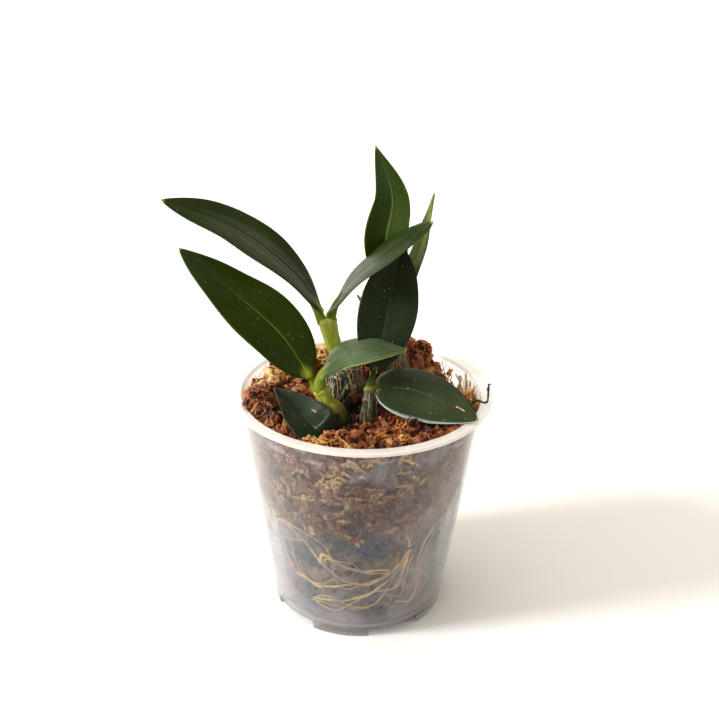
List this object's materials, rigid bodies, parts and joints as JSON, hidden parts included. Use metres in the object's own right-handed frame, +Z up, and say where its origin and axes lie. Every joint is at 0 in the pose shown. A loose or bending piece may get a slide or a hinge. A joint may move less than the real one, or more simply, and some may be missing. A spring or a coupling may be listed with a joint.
{
  "type": "potted dendrobium orchid",
  "caption": "Young dendrobium orchid with swollen canes and arching pointed leaves, rooted in moss in a clear round tapered plastic pot with a thin rim and feet.",
  "frame": {"origin": "middle of the whole object's box in X and Y, on the surface that the pot stands on", "axes": "+Z up along the pot's axis, -Y towards the front that the picture shows, +X to the right in the picture"},
  "size_m": [0.111, 0.09, 0.1631],
  "materials": {
    "clear_plastic": "clear polypropylene, slightly milky and scuffed",
    "moss": "damp red-brown and tan sphagnum, rugged and fibrous",
    "roots": "matt tan velamen with paler tips",
    "cane_green": "dark green pseudobulb in dry tan sheath fibres, yellow-green neck",
    "shoot_green": "smooth yellow-green young cane",
    "leaf_green": "dark green leathery blade with a pale midrib and a soft grey sheen",
    "twig_dark": "dry blackened bark"
  },
  "bodies": {
    "root": {"pot": "clear_plastic", "moss": "moss", "rhizome_and_roots": "roots", "cane_large": "cane_green", "cane_front": "shoot_green", "cane_small": "cane_green", "cane_hidden": "cane_green", "leaf_upper_left": "leaf_green", "leaf_upper_right": "leaf_green", "leaf_lower_left": "leaf_green", "leaf_folded": "leaf_green", "leaf_top": "leaf_green", "leaf_edge_on": "leaf_green", "leaf_young": "leaf_green", "leaf_dark": "leaf_green", "leaf_rim": "leaf_green", "leaf_on_moss": "leaf_green", "twig": "twig_dark"}
  },
  "joints": []
}
